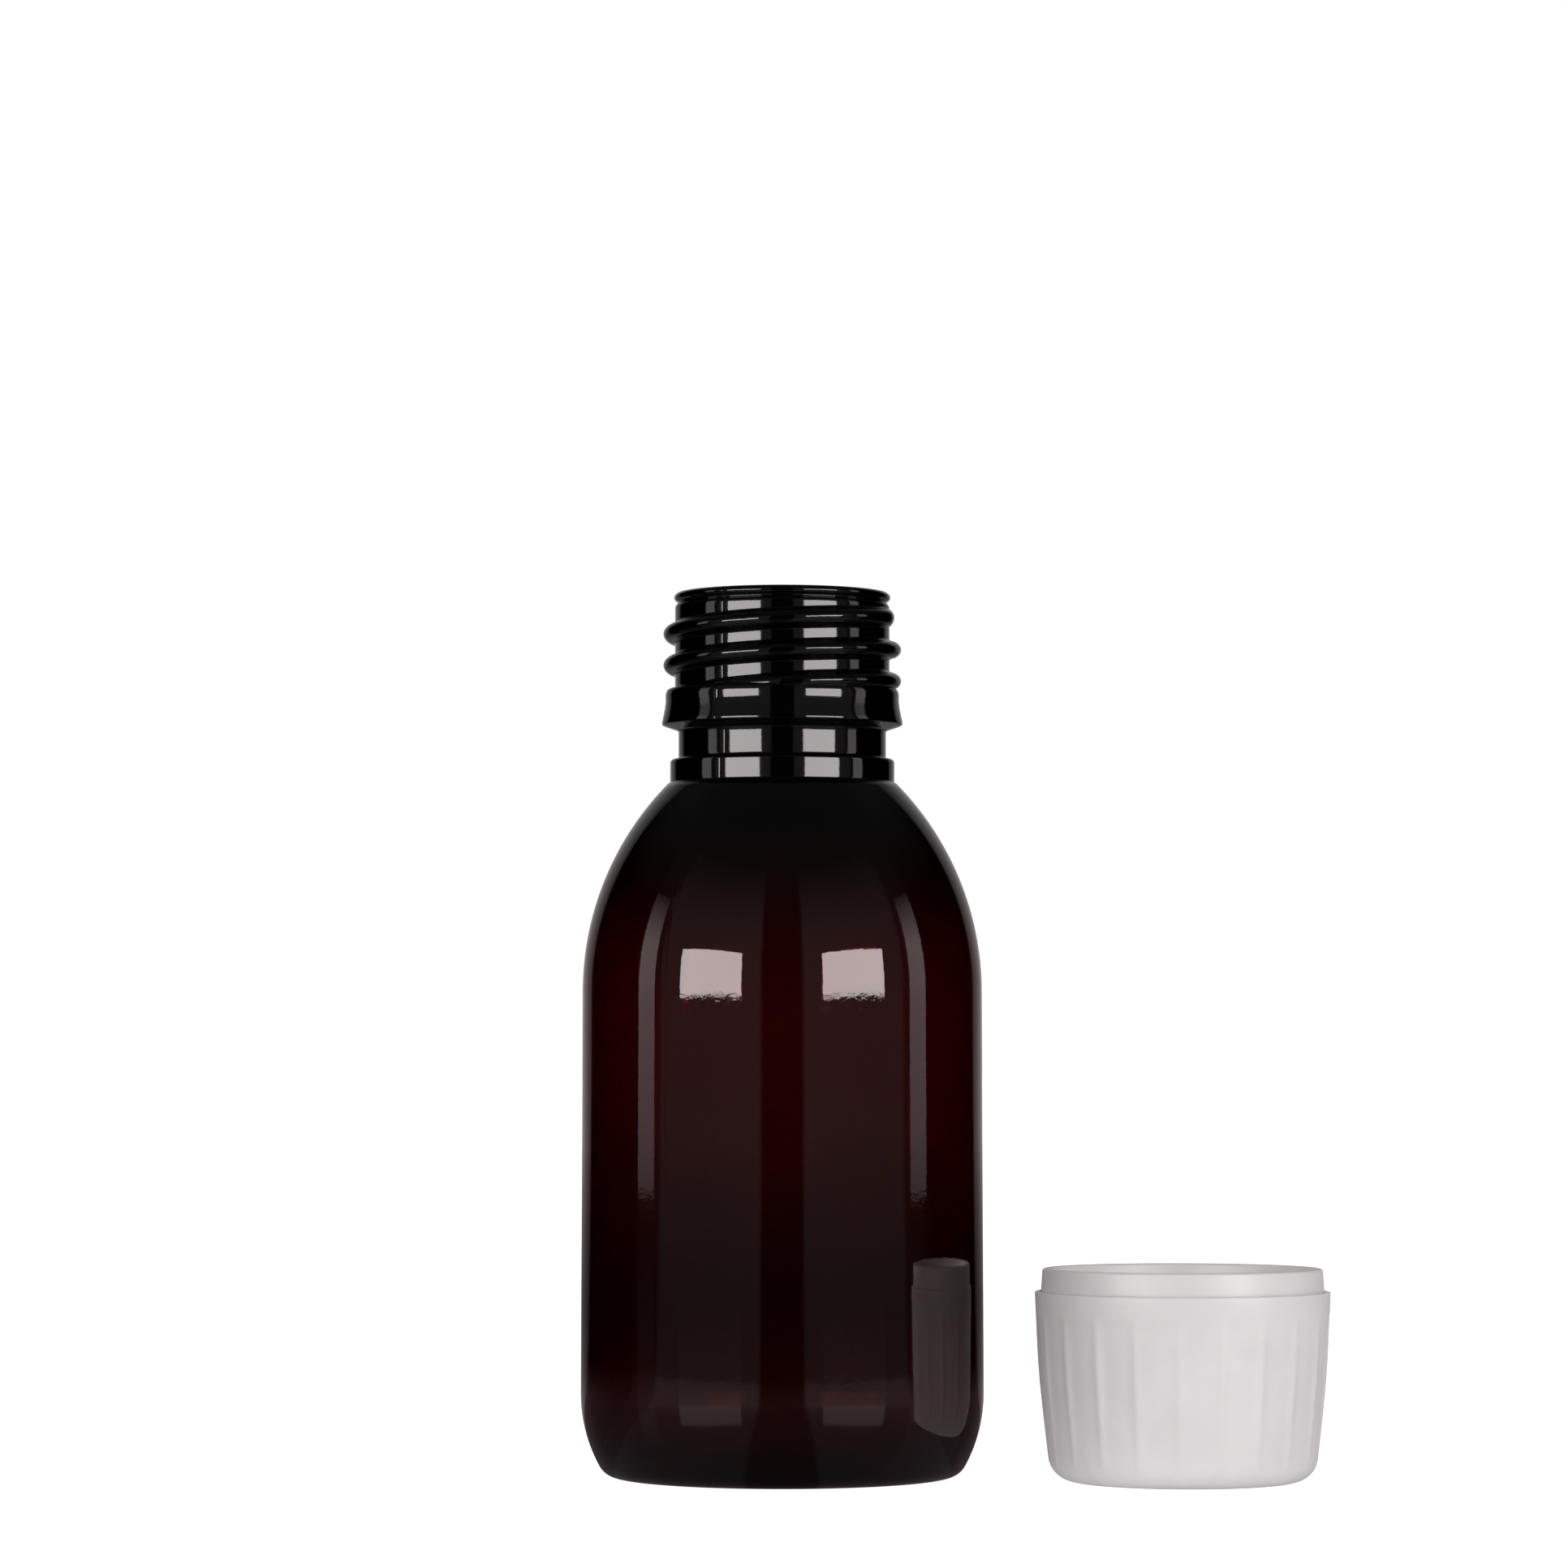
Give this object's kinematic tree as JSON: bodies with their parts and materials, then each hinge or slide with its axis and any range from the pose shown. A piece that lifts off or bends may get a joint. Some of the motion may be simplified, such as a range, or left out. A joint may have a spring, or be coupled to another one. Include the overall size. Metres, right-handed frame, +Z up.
{
  "type": "medicine bottle with child-resistant closure",
  "caption": "Round blown medicine bottle with a threaded neck, and its fluted push-and-turn closure with a tamper band.",
  "frame": {"origin": "centre of the bottle's standing ring, on the table", "axes": "+Z up along the bottle; +X to the right, towards the closure; -Y towards the viewer"},
  "size_m": [0.0853, 0.0469, 0.1014],
  "materials": {
    "bottle_plastic": "glossy, dark brown, see-through against strong light",
    "outer_cap_plastic": "satin moulded white",
    "inner_cap_plastic": "satin moulded natural white",
    "band_plastic": "satin moulded white",
    "liner_foam": "smooth-skinned white foam"
  },
  "bodies": {
    "bottle": {"bottle": "bottle_plastic"},
    "lifted_closure": {"turn_arrows": "outer_cap_plastic"},
    "liner": {"liner": "liner_foam"},
    "inner_cap": {"inner_cap": "inner_cap_plastic", "frangible_bridges": "band_plastic", "tamper_band": "band_plastic"},
    "outer_cap": {"outer_cap": "outer_cap_plastic", "spring_fingers": "outer_cap_plastic"}
  },
  "joints": [
    {"name": "closure_carry", "type": "hinge", "parent": "bottle", "child": "lifted_closure", "pos_m": [0.0227, -0.00351, 0.06449], "axis": [-0.153, -0.9882, 0], "range_deg": [0, 180]},
    {"name": "closure_advance", "type": "slide", "parent": "lifted_closure", "child": "liner", "axis": [0, 0, 1], "range_m": [0, 0.02178]},
    {"name": "closure_turn", "type": "hinge", "parent": "liner", "child": "inner_cap", "pos_m": [0.04541, -0.00703, 0.012], "axis": [0, 0, 1], "range_deg": [0, 2160]},
    {"name": "outer_cap_push", "type": "slide", "parent": "inner_cap", "child": "outer_cap", "axis": [0, 0, 1], "range_m": [0, 0.0012], "stiffness_N_per_m": 2000, "springref_m": -0.001, "deforming": ["spring_fingers"]}
  ],
  "couplings": [
    {"joint": "closure_advance", "follows": "closure_turn", "m_per_rad": 0.00057773}
  ]
}
